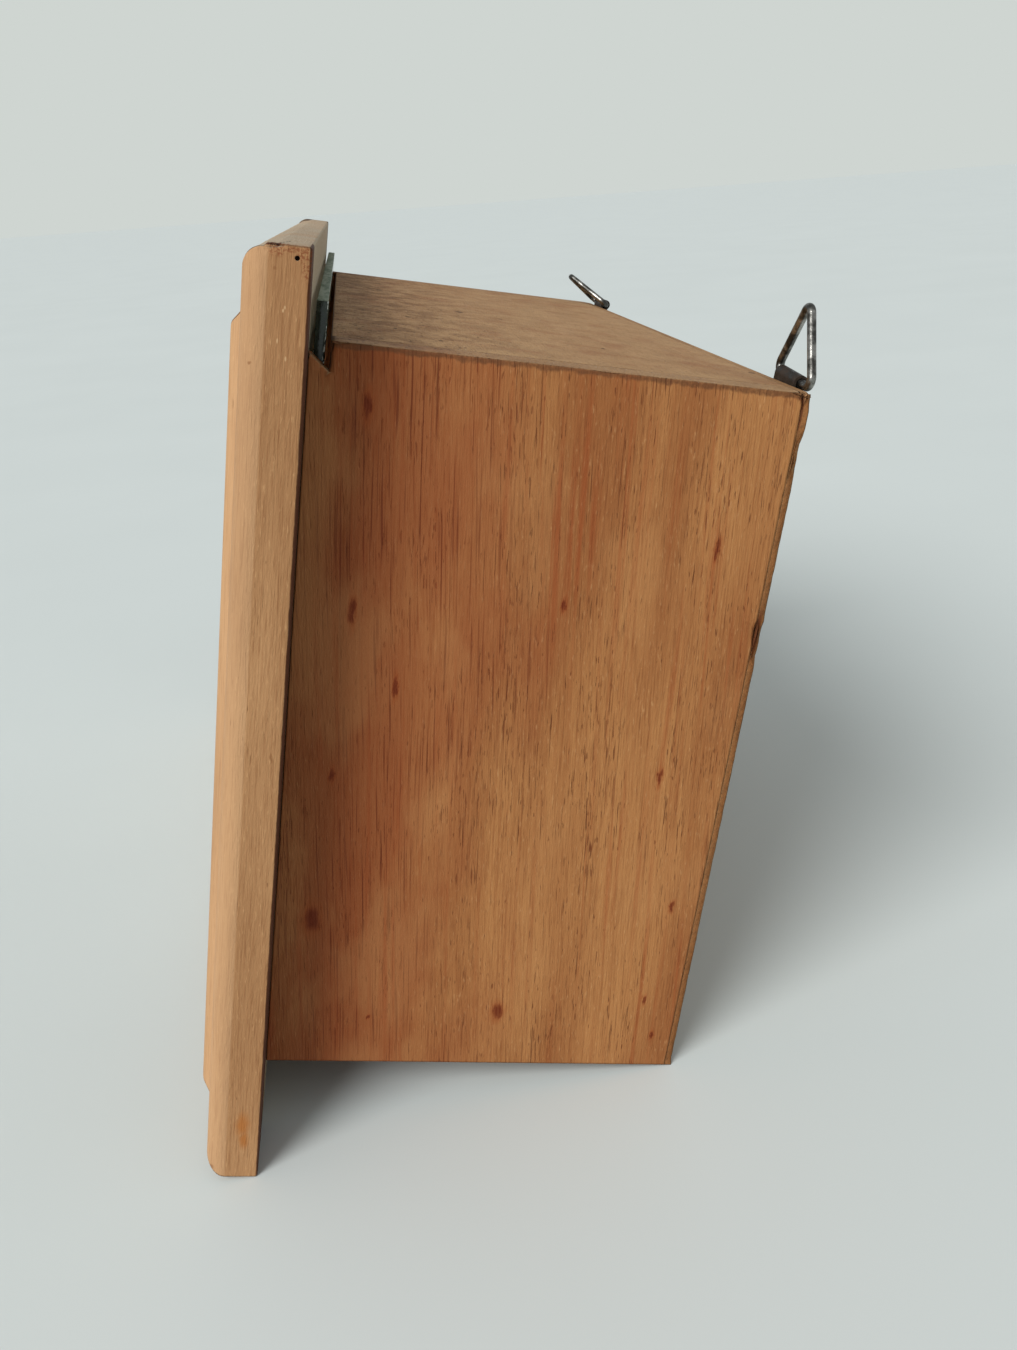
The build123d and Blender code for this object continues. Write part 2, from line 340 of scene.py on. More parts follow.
def side_wood():
    """The sides' reddish wood, with its flecks where they are on the right side."""
    wood = Wood(
        "side_wood", 2, tint(174, 120, 71), tint(148, 92, 50), tint(90, 34, 9),
        tint(138, 102, 72), pores=0.9, lean=0.085,
    )
    _, y, z = wood.axes(wood.place)
    cloud = wood.cloud((30, 22, 55), 3.0, shift=4)
    red = wood.math("MULTIPLY_ADD", wood.math("SUBTRACT", cloud, 0.5), 64 * MM, y)
    red = wood.smooth(red, 6 * MM, -22 * MM)
    red = wood.times(red, wood.smooth(y, -38 * MM, -29 * MM, 0.62, 1.0))
    wood.stain(red, tint(134, 62, 29), 0.66)
    streaks = wood.cloud((8, 0.42, 22), 1.0, 0.4, wood.bent, 31)
    streaks = wood.smooth(streaks, 0.56, 0.72)
    wood.stain(wood.times(streaks, wood.math("MULTIPLY_ADD", red, 0.8, 0.1)), tint(92, 30, 6), 0.8)
    ribbon = wood.smooth(wood.cloud((20, 1.6, 60), 2.0, start=wood.bent, shift=11), 0.5, 0.78)
    patch = wood.smooth(wood.cloud((20, 16, 40), 2.0, shift=12), 0.4, 0.64, 0.25, 1.0)
    worn = wood.smooth(wood.cloud((14, 20, 34), 3.0, 0.6, shift=23), 0.48, 0.68)
    wood.stain(worn, tint(178, 126, 78), 0.3)
    wood.stain(wood.times(ribbon, patch), tint(140, 58, 20), 0.5)
    side_flecks(wood)
    up = wood.dust(tint(180, 144, 103), 0.85)
    wood.grime(up)
    dirty_arris(wood, z)
    return wood.finish()


def side_flecks(wood):
    """Rust-brown flecks with a darker heart, drawn out along the grain, two splits, and painted shade
    on the faces that look forward into the glass slot behind the frame.
    """
    push = wood.cloud((1.1, 0.7, 2.4), 4.0, 0.65, shift=2, colour=True)
    ragged = wood.shifted(wood.place, push, 1.1 * MM)
    near = wood.spots(SIDE_FLECKS, ragged)
    wood.stain(wood.smooth(near, 2.0, 0.5), tint(144, 64, 20), 0.5)
    streak = wood.smooth(wood.fibre, 0.3, 0.7, 0.7, 1.0)
    core = wood.times(wood.smooth(near, 1.2, 0.4), streak)
    wood.stain(core, tint(92, 26, 3), 0.9)
    crack = wood.spots(REAR_SPLITS, ragged)
    wood.stain(wood.smooth(crack, 1.3, 0.5), tint(88, 34, 10), 0.85)
    # painted shade: near-black on every face that looks forward, into the glass slot behind the frame
    slot_painted_shade = wood.smooth(wood.face_y, -0.5, -0.9)
    wood.stain(slot_painted_shade, tint(36, 22, 13), 0.92)


def dirty_arris(wood, z):
    """The line of brown dirt along the case's top edges."""
    wander = wood.cloud((3, 3, 3), 3.0, 0.65, shift=6)
    low = wood.math("MULTIPLY_ADD", wander, -2.1 * MM, CASE_TOP + 0.1 * MM)
    reach = wood.math("SUBTRACT", z, low)
    edge = wood.smooth(reach, -0.35 * MM, 0.25 * MM)
    side = wood.smooth(wood.face_z, 0.9, 0.6)
    dark = wood.smooth(wood.mottle, 0.3, 0.6, 0.6, 1.0)
    wood.stain(wood.times(wood.times(edge, side), dark), tint(96, 60, 36), 0.8)


def top_wood():
    """The top board: the same wood under years of grey-brown dirt and specks."""
    wood = Wood(
        "top_wood", 0, tint(178, 138, 98), tint(150, 106, 68), tint(92, 62, 40),
        tint(140, 108, 78), pores=0.3, shift=20,
    )
    up = wood.dust(tint(180, 144, 103), 0.85)
    wood.grime(up)
    push = wood.cloud((1.2, 1.2, 1.2), 3.0, shift=2, colour=True)
    ragged = wood.shifted(wood.place, push, 0.6 * MM)
    marks = [
        ((8, -5.5, 167.4), (1.9, 1.0, 4)),
        ((15, 4, 167.4), (0.9, 0.6, 4)),
        ((62, 20, 167.4), (1.0, 0.6, 4)),
        ((78, 47.5, 167.4), (1.1, 0.8, 4)),
        ((-39, -24, 167.4), (1.6, 0.9, 4)),
        ((40, -20, 167.4), (1.4, 0.7, 4)),
        ((70, -24, 167.4), (1.2, 0.5, 4)),
        ((84, -16, 167.4), (0.9, 0.5, 4)),
    ]
    near = wood.spots(marks, ragged)
    wood.stain(wood.smooth(near, 1.3, 0.5), tint(62, 42, 28), 0.8)
    # painted shade: near-black on the faces that look forward, into the glass slot behind the frame
    wood.stain(wood.smooth(wood.face_y, -0.5, -0.9), tint(36, 24, 15), 0.9)
    return wood.finish(rough=(0.7, 0.9))


def frame_wood(name, axis):
    """The moulding's paler wood. axis is the way its grain runs."""
    wood = Wood(
        name, axis, tint(191, 146, 102), tint(162, 118, 78), tint(128, 82, 46),
        tint(160, 124, 88), pores=0.1, shift=40 + axis, streaks=0.35,
    )
    x, y, z = wood.axes(wood.place)
    forward = wood.math("SUBTRACT", JOINT_Y, y)
    # painted light: the moulding's whole front, forward of its outer side face, is made paler
    front_painted_light = wood.smooth(forward, 6.4 * MM, 6.9 * MM)
    wood.stain(front_painted_light, tint(206, 166, 126), 0.34)
    wood.dust(tint(172, 160, 138), 0.85)
    rear_face(wood, x)
    mitre_line(wood, x, z, forward)
    corner_dirt_and_shade(wood)
    foot_stain(wood)
    return wood.finish(fibre_depth=0.08, pore_depth=0.08, nap_depth=0.15)


def rear_face(wood, x):
    """Greyed at the back, and painted dark brown shade on the rear face and along the rear arris where
    the frame stands out beyond the case.
    """
    behind = wood.smooth(wood.face_y, 0.3, 0.8)
    wood.stain(behind, tint(190, 178, 152), 0.78)
    outer = wood.smooth(wood.math("ABSOLUTE", x), CASE_X - 1.5 * MM, CASE_X + 1 * MM)
    wander = wood.cloud((2, 2, 5), 4.0, 0.65, shift=9)
    forward = wood.math("SUBTRACT", JOINT_Y, wood.axes(wood.place)[1])
    reach = wood.math("MULTIPLY_ADD", wander, -0.5 * MM, forward)
    rear_arris_shade = wood.smooth(reach, 0.22 * MM, 0.02 * MM)
    # painted shade: dark brown over the rear face and the rear arris beyond the case's side
    dark = wood.times(wood.math("MAXIMUM", behind, rear_arris_shade), outer)
    wood.stain(dark, tint(74, 32, 7), 0.95)


def mitre_line(wood, x, z, forward):
    """The dark hairline where two members meet, strongest on the moulding's front."""
    side = wood.math("SUBTRACT", HALF_WIDTH, wood.math("ABSOLUTE", x))
    middle = FRAME_HEIGHT / 2
    end = wood.math("SUBTRACT", middle, wood.math("ABSOLUTE", wood.math("SUBTRACT", z, middle)))
    off_mitre = wood.math("ABSOLUTE", wood.math("SUBTRACT", side, end))
    wander = wood.cloud((0.8, 1.2, 0.8), 3.0, 0.6, shift=7)
    off_mitre = wood.math("MULTIPLY_ADD", wood.math("SUBTRACT", wander, 0.5), 0.35 * MM, off_mitre)
    strength = wood.smooth(forward, 3.5 * MM, 6.5 * MM, 0.3, 0.9)
    line = wood.smooth(off_mitre, 0.3 * MM, 0.1 * MM)
    wood.stain(wood.times(line, strength), tint(66, 38, 24))


def corner_dirt_and_shade(wood):
    """The broken top corner: painted shade in its cavities and in the pin holes, a split along the
    rail, and rusty specks.
    """
    push = wood.cloud((0.5, 0.5, 0.5), 3.0, 0.65, shift=21, colour=True)
    ragged = wood.shifted(wood.place, push, 0.42 * MM)
    # painted shade: near-black spots in the broken corner's cavities and in both pin holes
    cavity_painted_shade = [
        ((119.6, -46.2, 182.1), (1.2, 0.34, 0.2)), ((119.5, -45.0, 182.2), (1.0, 0.3, 0.24)),
        ((119.4, -45.7, 182.1), (1.3, 1.1, 0.16)), ((119.2, -42.2, 180.5), (0.75, 0.75, 0.75)),
        ((-119.2, -42.2, 180.5), (0.75, 0.75, 0.75)),
    ]
    wood.stain(wood.smooth(wood.spots(cavity_painted_shade, ragged), 1.1, 0.7), tint(34, 12, 4), 0.95)
    split = [
        ((118.2, -44.9, 182.4), (2.4, 0.13, 0.5)), ((114.8, -44.6, 182.4), (2.2, 0.11, 0.5)),
        ((111.4, -44.2, 182.4), (2.2, 0.12, 0.5)), ((108.4, -43.9, 182.4), (1.8, 0.14, 0.5)),
    ]
    wood.stain(wood.smooth(wood.spots(split, ragged), 1.4, 0.7), tint(58, 40, 28), 0.8)
    speckle = wood.smooth(wood.cloud((0.42, 0.42, 0.36), 3.0, 0.7, shift=12), 0.47, 0.58)
    zones = [
        ((120, -40.8, 181.0), (4, 1.7, 1.6)), ((120, -45.2, 181.5), (4, 1.6, 1.2)),
        ((120, -43.4, 181.9), (4, 4.0, 0.8)), ((120, -40.6, 179.2), (4, 0.9, 2.2)),
    ]
    cover = wood.smooth(wood.spots(zones), 1.2, 0.5)
    wood.stain(wood.times(cover, speckle), tint(118, 56, 26), 0.7)


def foot_stain(wood):
    """The orange filler over the lower pins, and a few small marks on the right stile."""
    push = wood.cloud((1.3, 1.1, 1.8), 3.0, shift=2, colour=True)
    ragged = wood.shifted(wood.place, push, 0.5 * MM)
    foot = [((120, -43.6, 13.6), (5, 1.5, 3.4)), ((120, -43.2, 9.8), (5, 1.1, 2.6))]
    foot += [((-120, -43.6, 13.4), (5, 1.6, 3.4))]
    wood.stain(wood.smooth(wood.spots(foot, ragged), 1.35, 0.15), tint(166, 98, 36), 0.75)
    small = wood.spots([
        ((120, -45.5, 178.7), (3, 0.36, 0.36)), ((120, -48.7, 164.2), (3, 0.35, 0.35)),
        ((120, -49.5, 1.8), (3, 0.5, 0.6)), ((120, -42, 96), (3, 0.3, 1.2)),
    ], ragged)
    wood.stain(wood.smooth(small, 1.3, 0.4), tint(134, 90, 54), 0.7)
    nick = wood.spots([
        ((120, -43.7, 173.1), (2, 0.14, 0.3)), ((120, -43.95, 172.6), (2, 0.14, 0.3)),
        ((120, -44.6, 168), (2, 0.12, 0.4)), ((120, -43.2, 165.4), (2, 0.14, 0.4)),
    ])
    wood.stain(wood.smooth(nick, 1.3, 0.5), tint(216, 180, 136), 0.55)


def back_wood():
    """The thin back: plywood gone grey-brown, with its lighter raw edge."""
    wood = Wood(
        "back_wood", 0, tint(176, 138, 96), tint(150, 110, 72), tint(104, 68, 40),
        tint(152, 98, 54), pores=0.7, shift=60,
    )
    damp = wood.smooth(wood.cloud((38, 38, 30), 4.0, 0.6, shift=14), 0.5, 0.7)
    wood.stain(damp, tint(116, 84, 56), 0.4)
    wood.stain(wood.smooth(wood.spots(REAR_SPLITS), 1.3, 0.5), tint(88, 38, 14), 0.8)
    return wood.finish(rough=(0.65, 0.9))


def clear_glass():
    """The pane's faces: clear, a little green, filmed with dust, and open to lamplight."""
    glass = Recipe("clear_glass")
    dust = glass.cloud((30, 30, 30), 5.0, 0.7)
    glass.set(
        Base_Color=(0.90, 0.96, 0.92, 1.0), Transmission_Weight=1.0, IOR=1.5,
        Roughness=glass.smooth(dust, 0.4, 0.8, 0.0, 0.06),
    )
    path = glass.add("ShaderNodeLightPath")
    open_way = glass.add("ShaderNodeBsdfTransparent")
    open_way.inputs["Color"].default_value = (0.9, 0.95, 0.92, 1.0)
    film = glass.add("ShaderNodeBsdfDiffuse")
    film.inputs["Color"].default_value = tint(96, 108, 90)
    filmed = glass.add("ShaderNodeMixShader")
    height = glass.axes(glass.place)[2]
    most = glass.smooth(height, CASE_TOP - 6 * MM, CASE_TOP + 2 * MM, 0.06, 0.34)
    glass.feed(filmed.inputs[0], glass.smooth(dust, 0.25, 0.75, 0.02, most))
    glass.feed(filmed.inputs[1], glass.shader.outputs[0])
    glass.feed(filmed.inputs[2], film.outputs[0])
    both = glass.add("ShaderNodeMixShader")
    glass.feed(both.inputs[0], path.outputs["Is Shadow Ray"])
    glass.feed(both.inputs[1], filmed.outputs[0])
    glass.feed(both.inputs[2], open_way.outputs[0])
    output = next(n for n in glass.tree.nodes if n.type == "OUTPUT_MATERIAL")
    glass.feed(output.inputs["Surface"], both.outputs[0])
    return glass.material


def glass_ends():
    """The pane's cut ends, seen through its whole width: nearly black green."""
    glass = Recipe("glass_ends")
    _, y, z = glass.axes(glass.place)
    cut = glass.cloud((1.4, 2.0, 3.5), 3.0, 0.6)
    colour = glass.blend(glass.smooth(cut, 0.3, 0.7), tint(16, 24, 18), tint(36, 46, 36))
    # painted highlight: a broken near-white line along the lower part of the cut end's chipped rear
    # arris
    chipped_highlight = glass.smooth(glass.cloud((0.5, 0.5, 0.9), 3.0, 0.7, shift=3), 0.48, 0.6)
    reach = glass.smooth(z, CASE_TOP + 1 * MM, CASE_TOP - 4 * MM, 0.0, 0.34 * MM)
    rear = glass.smooth(glass.math("ADD", y, reach), GLASS_REAR - 0.22 * MM, GLASS_REAR - 0.08 * MM)
    colour = glass.blend(glass.times(rear, chipped_highlight), colour, tint(232, 238, 228))
    glass.set(Base_Color=colour, Roughness=glass.smooth(cut, 0.3, 0.8, 0.1, 0.32), IOR=1.5)
    glass.set(Normal=glass.relief(cut, 0.08))
    return glass.material


def glass_rim():
    """The pane's ground top and bottom edges: dull grey green."""
    glass = Recipe("glass_rim")
    ground = glass.cloud((7, 1.4, 3), 4.0, 0.65, shift=9)
    grit = glass.cloud((0.4, 0.4, 0.4), 3.0, 0.6, shift=4)
    colour = glass.blend(glass.smooth(ground, 0.35, 0.7), tint(140, 150, 134), tint(92, 106, 92))
    colour = glass.blend(glass.smooth(grit, 0.5, 0.75, 0.0, 0.4), colour, tint(172, 180, 166))
    glass.set(
        Base_Color=colour, Roughness=glass.smooth(ground, 0.3, 0.7, 0.65, 0.85),
        Specular_IOR_Level=0.05, Normal=glass.relief(grit, 0.05),
    )
    return glass.material


def dark_wire():
    """Old steel wire: nearly black, worn bright here and there, rusty in spots."""
    steel = Recipe("dark_wire")
    rub = steel.cloud((3, 3, 3), 4.0, 0.65)
    rust = steel.cloud((0.7, 0.7, 0.7), 4.0, 0.7, shift=5)
    drawn = steel.cloud((0.35, 0.35, 0.35), 3.0, 0.6, shift=8)
    colour = steel.blend(steel.smooth(rub, 0.4, 0.68), tint(74, 73, 69), tint(164, 162, 156))
    colour = steel.blend(steel.smooth(rust, 0.62, 0.78, 0.0, 0.6), colour, tint(34, 28, 23))
    steel.set(
        Base_Color=colour, Roughness=steel.smooth(rub, 0.3, 0.8, 0.4, 0.22),
        Metallic=steel.smooth(rust, 0.74, 0.54, 0.4, 1.0), Normal=steel.relief(drawn, 0.035),
    )
    return steel.material


def rusty_strap():
    """Thin sheet steel, near black with brown rust where it is folded and nailed."""
    steel = Recipe("rusty_strap")
    rust = steel.cloud((2.4, 2.4, 2.4), 5.0, 0.65)
    grit = steel.cloud((0.35, 0.35, 0.35), 3.0, 0.7, shift=2)
    colour = steel.blend(steel.smooth(rust, 0.36, 0.62), tint(44, 40, 35), tint(52, 39, 28))
    colour = steel.blend(steel.smooth(grit, 0.5, 0.75, 0.0, 0.7), colour, tint(30, 22, 16))
    steel.set(
        Base_Color=colour, Metallic=steel.smooth(rust, 0.64, 0.4, 0.2, 0.8),
        Roughness=steel.smooth(rust, 0.35, 0.65, 0.38, 0.7), Normal=steel.relief(grit, 0.06),
    )
    return steel.material


def nail_steel():
    """Small nails: dull grey steel with brown rims."""
    steel = Recipe("nail_steel")
    spot = steel.cloud((0.8, 0.8, 0.8), 4.0, 0.65)
    grit = steel.cloud((0.3, 0.3, 0.3), 3.0, 0.7, shift=4)
    colour = steel.blend(steel.smooth(spot, 0.4, 0.65), tint(112, 106, 98), tint(74, 50, 36))
    colour = steel.blend(steel.smooth(grit, 0.52, 0.74, 0.0, 0.6), colour, tint(44, 32, 25))
    steel.set(
        Base_Color=colour, Metallic=steel.smooth(spot, 0.62, 0.4, 0.3, 0.9),
        Roughness=steel.smooth(spot, 0.3, 0.7, 0.35, 0.7), Normal=steel.relief(grit, 0.04),
    )
    return steel.material


# ---- mesh tools
def rough_noise(point, sizes, shift=0.0):
    """Smooth noise from 0 to 1. sizes are its features' x, y and z lengths in millimetres."""
    spot = Vector([p / (s * MM) + shift for p, s in zip(point, sizes)])
    return 0.5 + 0.5 * noise.noise(spot)


def cad_shape(node):
    """A CAD node's own shape as a bmesh, with its flat faces whole."""
    solid = bmesh.new()
    solid.from_mesh(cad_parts[node].data)
    bmesh.ops.remove_doubles(solid, verts=solid.verts, dist=0.004 * MM)
    bmesh.ops.dissolve_limit(solid, angle_limit=math.radians(0.5), verts=solid.verts, edges=solid.edges)
    return solid


def soften(solid, radius, least_turn=30):
    """Rounds every outward edge that turns by more than least_turn degrees."""
    sharp = [
        e for e in solid.edges
        if e.is_manifold and e.is_convex and e.calc_face_angle(0) > math.radians(least_turn)
    ]
    bmesh.ops.bevel(
        solid, geom=sharp, offset=radius * MM, offset_type="OFFSET", segments=3, profile=0.5,
        affect="EDGES", clamp_overlap=True,
    )


def join_loops(solid, loops):
    """Faces between each closed loop of points and the next."""
    for first, second in zip(loops, loops[1:]):
        count = len(first)
        for n in range(count):
            m = (n + 1) % count
            solid.faces.new((first[n], first[m], second[m], second[n]))


def slice_across(solid, axis, places):
    """Cuts all faces by planes square to the axis, so that there are points to move."""
    normal = Vector([1.0 if n == axis else 0.0 for n in range(3)])
    for place in places:
        everything = solid.verts[:] + solid.edges[:] + solid.faces[:]
        bmesh.ops.bisect_plane(
            solid, geom=everything, dist=1e-7, plane_co=normal * place, plane_no=normal
        )


def steps(low, high, step, rim):
    """Places from low to high, step apart, with one more rim inside each end."""
    count = max(1, round((high - low - 2 * rim) / step))
    return [low + rim + (high - low - 2 * rim) * n / count for n in range(count + 1)]


def edge_share(normal):
    """0 on a face square to an axis, 1 half way round an edge."""
    return min(1.0, (1.0 - max(abs(part) for part in normal)) / 0.25)


def weather(solid, flat, edge, bites=(), shift=0.0, sizes=(9, 9, 9)):
    """Moves points inwards: a little on faces, more on edges, most in the bites."""
    solid.normal_update()
    moves = []
    for vert in solid.verts:
        share = edge_share(vert.normal)
        depth = flat * rough_noise(vert.co, sizes, shift)
        ragged = rough_noise(vert.co, (2.1, 2.1, 2.9), shift + 4)
        slow = rough_noise(vert.co, (14, 14, 14), shift + 9)
        depth += edge * share * (0.6 * ragged ** 2 + 0.4 * slow)
        for centre, radius, deepest in bites:
            away = (vert.co / MM - Vector(centre)).length / radius
            if away < 1:
                uneven = 0.6 + 0.8 * rough_noise(vert.co, (0.9, 0.9, 0.9), shift)
                depth += deepest * (1 - away * away) * uneven
        moves.append(vert.normal * (depth * MM))
    for vert, move in zip(solid.verts, moves):
        vert.co -= move


def make_piece(name, solid, materials, body, nodes, choose=None):
    """Turns a bmesh into a piece of the model that rides on its body."""
    bmesh.ops.recalc_face_normals(solid, faces=solid.faces)
    for face in solid.faces:
        face.smooth = True
        if choose:
            face.material_index = choose(face)
    mesh = bpy.data.meshes.new(name)
    solid.to_mesh(mesh)
    solid.free()
    for material in materials:
        mesh.materials.append(material)
    piece = bpy.data.objects.new(name, mesh)
    bpy.context.collection.objects.link(piece)
    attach(piece, body)
    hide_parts(*nodes)
    return piece


# ---- boards
def board(name, node, material, step, radius, flat, edge, bites=(), shift=0.0):
    """A board of the case, with rounded and worn edges."""
    solid = cad_shape(node)
    soften(solid, radius)
    low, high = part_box(node)
    for axis in range(3):
        gap = step[axis] * MM
        slice_across(solid, axis, steps(low[axis], high[axis], gap, radius * 1.6 * MM))
    weather(solid, flat, edge, bites, shift)
    make_piece(name, solid, [material], "case", [node])


EDGE_BITES = 94  # small bites all the way up the back's right edge, but not at its split
EDGE_BITE_START = 19  # millimetres up, as are the next three
EDGE_BITE_STEP = 1.5
SPLIT_FOOT = 117
SPLIT_HEAD = 125


def build_case(side, top, back):
    """The boards. A bite is a centre, a radius and a depth in millimetres."""
    corner_bites = [
        ((105, 48.8, 167.4), 2.2, 0.5),
        ((105, -36, 167.4), 2.0, 0.5),
        ((105, 49, 121), 2.4, 0.4),
        ((105, 12, 167.8), 1.6, 0.35),
    ]
    fine = (2.7, 2.2, 1.6)
    board("right_side", "side_board_right", side, fine, 0.26, 0.05, 0.3, corner_bites)
    board("left_side", "side_board_left", side, (2.7, 2.8, 2.4), 0.35, 0.05, 0.3, (), 17)
    board("case_top", "top_board", top, (2.4, 2.2, 2.7), 0.25, 0.06, 0.2, (), 31)
    board("case_bottom", "bottom_board", side, (3.0, 3.0, 2.7), 0.25, 0.05, 0.2, (), 43)
    edge_bites = [
        ((105.3, 50.2, 167.6), 3.2, 0.7),
        ((105, 50, 158), 2.4, 0.4),
        ((105, 50, 154), 3.0, 0.4),
        ((105, 50, 121), 3.5, 0.6),
        ((105, 50, 117), 2.5, 0.4),
        ((-105, 50, 60), 3.0, 0.5),
        ((-105, 50, 167), 2.6, 0.6),
    ]
    for n in range(EDGE_BITES):
        height = EDGE_BITE_START + EDGE_BITE_STEP * n
        if not SPLIT_FOOT < height < SPLIT_HEAD:
            edge_bites.append(((105.2, 50.2, height), 1.4, 0.4))
    board("back", "back_panel", back, (2.6, 0.7, 1.5), 0.14, 0.05, 0.3, edge_bites, 57)


# ---- moulding
EDGE_HEIGHT = 6.7
EDGE_ROUND = 4.0
SHOULDER = (11.0, 10.7)
CREST = (13.6, 12.9)
CREST_END = (17.5, 12.9)
SCOOP_FOOT = (25.0, 8.0)
SIGHT_EDGE = (26.0, 8.0)
FINE_STEP = 0.45  # widest gap between points on the outer edge of the broken members
PLAIN_STEP = 1.3
ROUND_START = 5.2  # how far forward the wear of the top edge begins
WEAR_REACH = 7.0  # how far down and along the corner it is felt
MITRE_LOSS = 0.12


def arc(centre, radius, first, last, count):
    """Points on an arc from the first angle to the last, in degrees."""
    angles = [math.radians(first + (last - first) * n / count) for n in range(count + 1)]
    return [(centre[0] + radius * math.cos(a), centre[1] + radius * math.sin(a)) for a in angles]


def eased(before, corner, after, radius):
    """A sharp corner as five points on a short curve."""
    corner = Vector(corner)
    start = corner + (Vector(before) - corner).normalized() * radius
    stop = corner + (Vector(after) - corner).normalized() * radius
    return [
        tuple(start * (1 - t) ** 2 + corner * 2 * t * (1 - t) + stop * t * t)
        for t in (0.0, 0.25, 0.5, 0.75, 1.0)
    ]


def moulding_section(step):
    """The moulding's outline: millimetres in from the outer edge, and forward of the case.
    step is the widest gap between points on the outer edge."""
    drop = CREST_END[1] - SCOOP_FOOT[1]
    run = SCOOP_FOOT[0] - CREST_END[0]
    scoop_radius = (run ** 2 + drop ** 2) / (2 * drop)
    scoop_centre = (SCOOP_FOOT[0], SCOOP_FOOT[1] + scoop_radius)
    scoop_start = math.degrees(math.atan2(CREST_END[1] - scoop_centre[1], -run))
    scoop = arc(scoop_centre, scoop_radius, scoop_start + 360, 270, 12)
    round_over = arc((EDGE_ROUND, EDGE_HEIGHT), EDGE_ROUND, 180, 90, 10)
    outer = eased(SIGHT_EDGE[:1] + (0,), (0, 0), round_over[0], 0.5)
    shoulder = eased(round_over[-1], SHOULDER, CREST, 0.7)
    crest = eased(SHOULDER, CREST, CREST_END, 0.8)
    crest_end = eased(CREST, CREST_END, scoop[1], 0.7)
    sight = eased(SCOOP_FOOT, SIGHT_EDGE, (SIGHT_EDGE[0], 0), 0.5)
    inner = eased(SIGHT_EDGE, (SIGHT_EDGE[0], 0), (0, 0), 0.4)
    corners = outer + round_over + shoulder + crest + crest_end + scoop[2:] + sight + inner
    section = []
    for first, second in zip(corners, corners[1:] + corners[:1]):
        gap = math.dist(first, second)
        outer = min(first[0], second[0]) < 4.5
        count = max(1, round(gap / (step if outer else PLAIN_STEP)))
        for n in range(count):
            t = n / count
            section.append(tuple(a + (b - a) * t for a, b in zip(first, second)))
    return section


def section_normals(section):
    normals = []
    for before, after in zip(section[-1:] + section[:-1], section[1:] + section[:1]):
        tangent = Vector((after[0] - before[0], after[1] - before[1])).normalized()
        normals.append((-tangent.y, tangent.x))
    return normals


def stations(half, fine):
    """Where the cross-sections stand, from -1 to 1 along a member, closer together at the mitres."""
    inner = [n / 60 for n in range(-58, 59)]
    plain = [2.4, 1.3, 0.6, 0.2, 0.0]
    gaps = [n * 0.28 for n in range(26)] if fine else plain
    near_end = [-1.0 + gap * MM / half for gap in plain]
    far_end = [1.0 - gap * MM / half for gap in gaps]
    return sorted(set(inner + far_end + near_end))


def member_point(upright, far, share, u, v):
    """The point u in from the outer edge and v forward, share of the way along the member."""
    half_height = FRAME_HEIGHT / 2
    forward = JOINT_Y - v * MM
    if upright:
        rise = (half_height - u * MM) * share
        return Vector((far * (HALF_WIDTH - u * MM), forward, half_height + rise))
    height = half_height + far * (half_height - u * MM)
    return Vector(((HALF_WIDTH - u * MM) * share, forward, height))


def member_loss(point, normal, grain, far, at_mitre):
    """Millimetres worn away: a little everywhere, more where the section turns."""
    slant = min(abs(normal[0]), abs(normal[1])) * 1.4
    depth = 0.05 * rough_noise(point, grain, far)
    depth += 0.16 * slant * rough_noise(point, (5, 5, 5), 3 + far) ** 2
    return depth + MITRE_LOSS if at_mitre else depth


def corner_damage(point, upright):
    """How far the worn top edge and its broken right corner have sunk, in millimetres."""
    away = math.hypot(HALF_WIDTH - point.x, FRAME_HEIGHT - point.z) / MM
    forward = (JOINT_Y - point.y) / MM
    ragged = rough_noise(point, (0.55, 0.5, 0.55), 2)
    below_top = (FRAME_HEIGHT - point.z) / MM
    rounding = min(1.0, max(0.0, (forward - ROUND_START) / 1.6)) * max(0.0, 1 - below_top / WEAR_REACH)
    splinter = away < 2.6 and 4.9 + 0.5 * ragged < forward < 6.5 + 0.5 * ragged
    if upright:
        if away > WEAR_REACH:
            return 0.0
        near = max(0.0, 1 - away / 1.6)
        hollow = max(0.0, 1 - ((forward - 5.8) / 1.7) ** 2)
        return 0.42 * (1 - away / WEAR_REACH) * rounding + near * (0.1 + 0.8 * hollow * ragged)
    if splinter:
        return 0.25 * max(0.0, ragged - 0.5)
    return (0.4 + 0.25 * rough_noise(point, (4, 1, 4), 6)) * rounding


def skin(rings):
    """Joins closed rings of points into one solid, and closes its ends."""
    solid = bmesh.new()
    loops = [[solid.verts.new(point) for point in ring] for ring in rings]
    join_loops(solid, loops)
    for loop in (loops[0], loops[-1]):
        bmesh.ops.triangulate(solid, faces=[solid.faces.new(loop)])
    return solid


def frame_member(name, node, upright, far, material, broken=False):
    """One mitred length of moulding. far is +1 for the top or right member, -1 for the others."""
    section = moulding_section(FINE_STEP if broken else PLAIN_STEP)
    normals = section_normals(section)
    half = FRAME_HEIGHT / 2 if upright else HALF_WIDTH
    grain = (3.0, 3.0, 40) if upright else (40, 3.0, 3.0)
    rings = []
    for share in stations(half, broken):
        at_mitre = 1.0 - abs(share) < 1e-6
        ring = []
        for (u, v), normal in zip(section, normals):
            point = member_point(upright, far, share, u, v)
            out = Vector((-far * normal[0], -normal[1], 0))
            if not upright:
                out = Vector((0, -normal[1], -far * normal[0]))
            moved = point - out * (member_loss(point, normal, grain, far, at_mitre) * MM)
            if broken and (share > 0.9 or not upright):
                sunk = corner_damage(point, upright) * MM
                moved -= Vector((0.5 * sunk * share, 0, sunk))
            ring.append(moved)
        rings.append(ring)
    return make_piece(name, skin(rings), [material], "case", [node])


